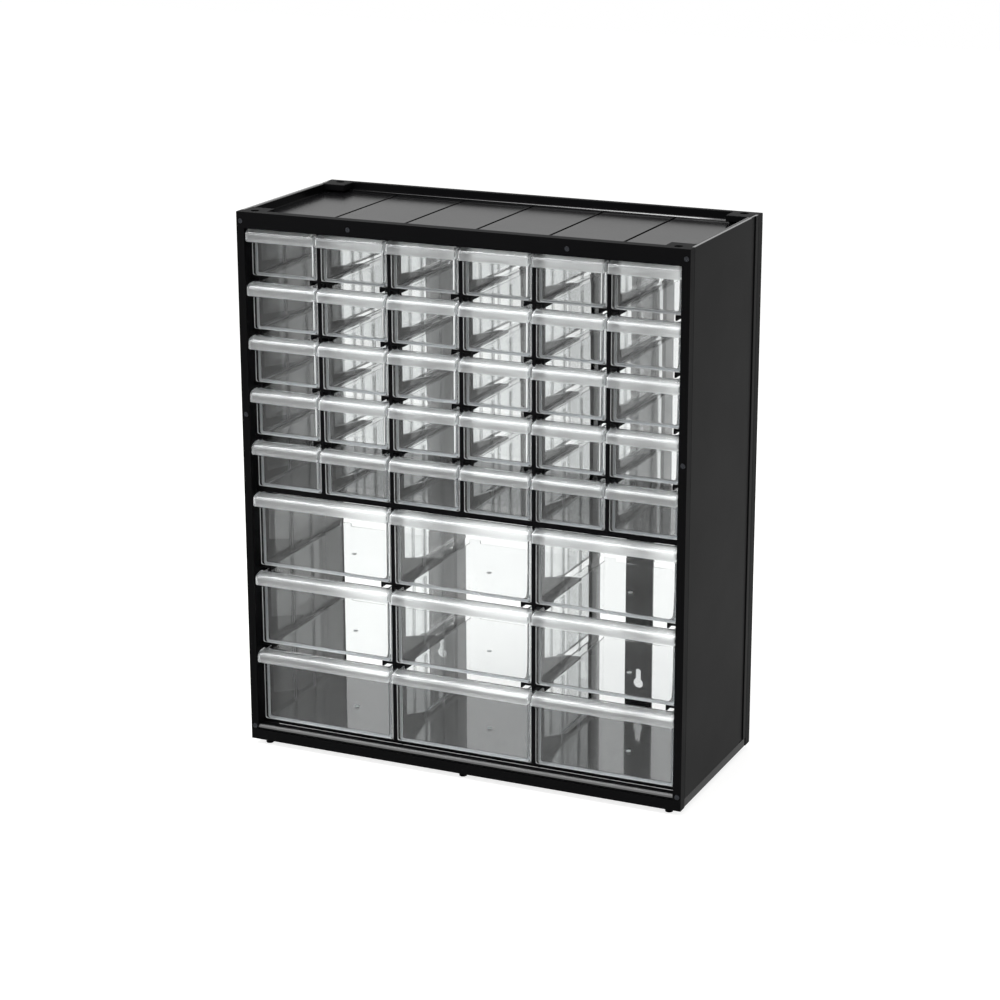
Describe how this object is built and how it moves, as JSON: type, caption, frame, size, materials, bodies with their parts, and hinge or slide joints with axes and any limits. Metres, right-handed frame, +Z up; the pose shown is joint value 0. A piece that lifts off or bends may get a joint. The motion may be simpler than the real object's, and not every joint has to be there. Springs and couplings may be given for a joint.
{
  "type": "parts bin cabinet",
  "caption": "Parts cabinet: a black plastic case with rows of small and large clear pull-out drawers, a shallow tray in its top, stacking pegs and rear straps with keyholes.",
  "frame": {"origin": "on the surface that the cabinet stands on, under the middle of the case", "axes": "+X towards the cabinet's right side as seen from the front, +Y from the front to the back, +Z up"},
  "size_m": [0.365, 0.154, 0.4295],
  "materials": {
    "case_plastic": "satin injection-moulded polystyrene",
    "clear_plastic": "clear injection-moulded polystyrene",
    "screw_steel": "blackened steel, cross-slotted heads"
  },
  "bodies": {
    "case": {"left_side_panel": "case_plastic", "right_side_panel": "case_plastic", "top_tray": "case_plastic", "bottom_panel": "case_plastic", "middle_shelf": "case_plastic", "front_frame": "case_plastic", "rear_frame": "case_plastic", "rear_strap_left": "case_plastic", "rear_strap_right": "case_plastic", "foot_pegs": "case_plastic", "front_frame_screws": "screw_steel", "rear_frame_screws": "screw_steel", "strap_screws": "screw_steel", "upper_divider_1": "case_plastic", "upper_divider_2": "case_plastic", "upper_divider_3": "case_plastic", "upper_divider_4": "case_plastic", "upper_divider_5": "case_plastic", "lower_divider_1": "case_plastic", "lower_divider_2": "case_plastic"},
    "small_drawer_r1_c1": {"small_drawer_r1_c1": "clear_plastic"},
    "small_drawer_r1_c2": {"small_drawer_r1_c2": "clear_plastic"},
    "small_drawer_r1_c3": {"small_drawer_r1_c3": "clear_plastic"},
    "small_drawer_r1_c4": {"small_drawer_r1_c4": "clear_plastic"},
    "small_drawer_r1_c5": {"small_drawer_r1_c5": "clear_plastic"},
    "small_drawer_r1_c6": {"small_drawer_r1_c6": "clear_plastic"},
    "small_drawer_r2_c1": {"small_drawer_r2_c1": "clear_plastic"},
    "small_drawer_r2_c2": {"small_drawer_r2_c2": "clear_plastic"},
    "small_drawer_r2_c3": {"small_drawer_r2_c3": "clear_plastic"},
    "small_drawer_r2_c4": {"small_drawer_r2_c4": "clear_plastic"},
    "small_drawer_r2_c5": {"small_drawer_r2_c5": "clear_plastic"},
    "small_drawer_r2_c6": {"small_drawer_r2_c6": "clear_plastic"},
    "small_drawer_r3_c1": {"small_drawer_r3_c1": "clear_plastic"},
    "small_drawer_r3_c2": {"small_drawer_r3_c2": "clear_plastic"},
    "small_drawer_r3_c3": {"small_drawer_r3_c3": "clear_plastic"},
    "small_drawer_r3_c4": {"small_drawer_r3_c4": "clear_plastic"},
    "small_drawer_r3_c5": {"small_drawer_r3_c5": "clear_plastic"},
    "small_drawer_r3_c6": {"small_drawer_r3_c6": "clear_plastic"},
    "small_drawer_r4_c1": {"small_drawer_r4_c1": "clear_plastic"},
    "small_drawer_r4_c2": {"small_drawer_r4_c2": "clear_plastic"},
    "small_drawer_r4_c3": {"small_drawer_r4_c3": "clear_plastic"},
    "small_drawer_r4_c4": {"small_drawer_r4_c4": "clear_plastic"},
    "small_drawer_r4_c5": {"small_drawer_r4_c5": "clear_plastic"},
    "small_drawer_r4_c6": {"small_drawer_r4_c6": "clear_plastic"},
    "small_drawer_r5_c1": {"small_drawer_r5_c1": "clear_plastic"},
    "small_drawer_r5_c2": {"small_drawer_r5_c2": "clear_plastic"},
    "small_drawer_r5_c3": {"small_drawer_r5_c3": "clear_plastic"},
    "small_drawer_r5_c4": {"small_drawer_r5_c4": "clear_plastic"},
    "small_drawer_r5_c5": {"small_drawer_r5_c5": "clear_plastic"},
    "small_drawer_r5_c6": {"small_drawer_r5_c6": "clear_plastic"},
    "large_drawer_r1_c1": {"large_drawer_r1_c1": "clear_plastic"},
    "large_drawer_r1_c2": {"large_drawer_r1_c2": "clear_plastic"},
    "large_drawer_r1_c3": {"large_drawer_r1_c3": "clear_plastic"},
    "large_drawer_r2_c1": {"large_drawer_r2_c1": "clear_plastic"},
    "large_drawer_r2_c2": {"large_drawer_r2_c2": "clear_plastic"},
    "large_drawer_r2_c3": {"large_drawer_r2_c3": "clear_plastic"},
    "large_drawer_r3_c1": {"large_drawer_r3_c1": "clear_plastic"},
    "large_drawer_r3_c2": {"large_drawer_r3_c2": "clear_plastic"},
    "large_drawer_r3_c3": {"large_drawer_r3_c3": "clear_plastic"}
  },
  "joints": [
    {"name": "small_drawer_r1_c1_slide", "type": "slide", "parent": "case", "child": "small_drawer_r1_c1", "axis": [0, -1, 0], "range_m": [0, 0.114]},
    {"name": "small_drawer_r1_c2_slide", "type": "slide", "parent": "case", "child": "small_drawer_r1_c2", "axis": [0, -1, 0], "range_m": [0, 0.114]},
    {"name": "small_drawer_r1_c3_slide", "type": "slide", "parent": "case", "child": "small_drawer_r1_c3", "axis": [0, -1, 0], "range_m": [0, 0.114]},
    {"name": "small_drawer_r1_c4_slide", "type": "slide", "parent": "case", "child": "small_drawer_r1_c4", "axis": [0, -1, 0], "range_m": [0, 0.114]},
    {"name": "small_drawer_r1_c5_slide", "type": "slide", "parent": "case", "child": "small_drawer_r1_c5", "axis": [0, -1, 0], "range_m": [0, 0.114]},
    {"name": "small_drawer_r1_c6_slide", "type": "slide", "parent": "case", "child": "small_drawer_r1_c6", "axis": [0, -1, 0], "range_m": [0, 0.114]},
    {"name": "small_drawer_r2_c1_slide", "type": "slide", "parent": "case", "child": "small_drawer_r2_c1", "axis": [0, -1, 0], "range_m": [0, 0.114]},
    {"name": "small_drawer_r2_c2_slide", "type": "slide", "parent": "case", "child": "small_drawer_r2_c2", "axis": [0, -1, 0], "range_m": [0, 0.114]},
    {"name": "small_drawer_r2_c3_slide", "type": "slide", "parent": "case", "child": "small_drawer_r2_c3", "axis": [0, -1, 0], "range_m": [0, 0.114]},
    {"name": "small_drawer_r2_c4_slide", "type": "slide", "parent": "case", "child": "small_drawer_r2_c4", "axis": [0, -1, 0], "range_m": [0, 0.114]},
    {"name": "small_drawer_r2_c5_slide", "type": "slide", "parent": "case", "child": "small_drawer_r2_c5", "axis": [0, -1, 0], "range_m": [0, 0.114]},
    {"name": "small_drawer_r2_c6_slide", "type": "slide", "parent": "case", "child": "small_drawer_r2_c6", "axis": [0, -1, 0], "range_m": [0, 0.114]},
    {"name": "small_drawer_r3_c1_slide", "type": "slide", "parent": "case", "child": "small_drawer_r3_c1", "axis": [0, -1, 0], "range_m": [0, 0.114]},
    {"name": "small_drawer_r3_c2_slide", "type": "slide", "parent": "case", "child": "small_drawer_r3_c2", "axis": [0, -1, 0], "range_m": [0, 0.114]},
    {"name": "small_drawer_r3_c3_slide", "type": "slide", "parent": "case", "child": "small_drawer_r3_c3", "axis": [0, -1, 0], "range_m": [0, 0.114]},
    {"name": "small_drawer_r3_c4_slide", "type": "slide", "parent": "case", "child": "small_drawer_r3_c4", "axis": [0, -1, 0], "range_m": [0, 0.114]},
    {"name": "small_drawer_r3_c5_slide", "type": "slide", "parent": "case", "child": "small_drawer_r3_c5", "axis": [0, -1, 0], "range_m": [0, 0.114]},
    {"name": "small_drawer_r3_c6_slide", "type": "slide", "parent": "case", "child": "small_drawer_r3_c6", "axis": [0, -1, 0], "range_m": [0, 0.114]},
    {"name": "small_drawer_r4_c1_slide", "type": "slide", "parent": "case", "child": "small_drawer_r4_c1", "axis": [0, -1, 0], "range_m": [0, 0.114]},
    {"name": "small_drawer_r4_c2_slide", "type": "slide", "parent": "case", "child": "small_drawer_r4_c2", "axis": [0, -1, 0], "range_m": [0, 0.114]},
    {"name": "small_drawer_r4_c3_slide", "type": "slide", "parent": "case", "child": "small_drawer_r4_c3", "axis": [0, -1, 0], "range_m": [0, 0.114]},
    {"name": "small_drawer_r4_c4_slide", "type": "slide", "parent": "case", "child": "small_drawer_r4_c4", "axis": [0, -1, 0], "range_m": [0, 0.114]},
    {"name": "small_drawer_r4_c5_slide", "type": "slide", "parent": "case", "child": "small_drawer_r4_c5", "axis": [0, -1, 0], "range_m": [0, 0.114]},
    {"name": "small_drawer_r4_c6_slide", "type": "slide", "parent": "case", "child": "small_drawer_r4_c6", "axis": [0, -1, 0], "range_m": [0, 0.114]},
    {"name": "small_drawer_r5_c1_slide", "type": "slide", "parent": "case", "child": "small_drawer_r5_c1", "axis": [0, -1, 0], "range_m": [0, 0.114]},
    {"name": "small_drawer_r5_c2_slide", "type": "slide", "parent": "case", "child": "small_drawer_r5_c2", "axis": [0, -1, 0], "range_m": [0, 0.114]},
    {"name": "small_drawer_r5_c3_slide", "type": "slide", "parent": "case", "child": "small_drawer_r5_c3", "axis": [0, -1, 0], "range_m": [0, 0.114]},
    {"name": "small_drawer_r5_c4_slide", "type": "slide", "parent": "case", "child": "small_drawer_r5_c4", "axis": [0, -1, 0], "range_m": [0, 0.114]},
    {"name": "small_drawer_r5_c5_slide", "type": "slide", "parent": "case", "child": "small_drawer_r5_c5", "axis": [0, -1, 0], "range_m": [0, 0.114]},
    {"name": "small_drawer_r5_c6_slide", "type": "slide", "parent": "case", "child": "small_drawer_r5_c6", "axis": [0, -1, 0], "range_m": [0, 0.114]},
    {"name": "large_drawer_r1_c1_slide", "type": "slide", "parent": "case", "child": "large_drawer_r1_c1", "axis": [0, -1, 0], "range_m": [0, 0.114]},
    {"name": "large_drawer_r1_c2_slide", "type": "slide", "parent": "case", "child": "large_drawer_r1_c2", "axis": [0, -1, 0], "range_m": [0, 0.114]},
    {"name": "large_drawer_r1_c3_slide", "type": "slide", "parent": "case", "child": "large_drawer_r1_c3", "axis": [0, -1, 0], "range_m": [0, 0.114]},
    {"name": "large_drawer_r2_c1_slide", "type": "slide", "parent": "case", "child": "large_drawer_r2_c1", "axis": [0, -1, 0], "range_m": [0, 0.114]},
    {"name": "large_drawer_r2_c2_slide", "type": "slide", "parent": "case", "child": "large_drawer_r2_c2", "axis": [0, -1, 0], "range_m": [0, 0.114]},
    {"name": "large_drawer_r2_c3_slide", "type": "slide", "parent": "case", "child": "large_drawer_r2_c3", "axis": [0, -1, 0], "range_m": [0, 0.114]},
    {"name": "large_drawer_r3_c1_slide", "type": "slide", "parent": "case", "child": "large_drawer_r3_c1", "axis": [0, -1, 0], "range_m": [0, 0.114]},
    {"name": "large_drawer_r3_c2_slide", "type": "slide", "parent": "case", "child": "large_drawer_r3_c2", "axis": [0, -1, 0], "range_m": [0, 0.114]},
    {"name": "large_drawer_r3_c3_slide", "type": "slide", "parent": "case", "child": "large_drawer_r3_c3", "axis": [0, -1, 0], "range_m": [0, 0.114]}
  ]
}
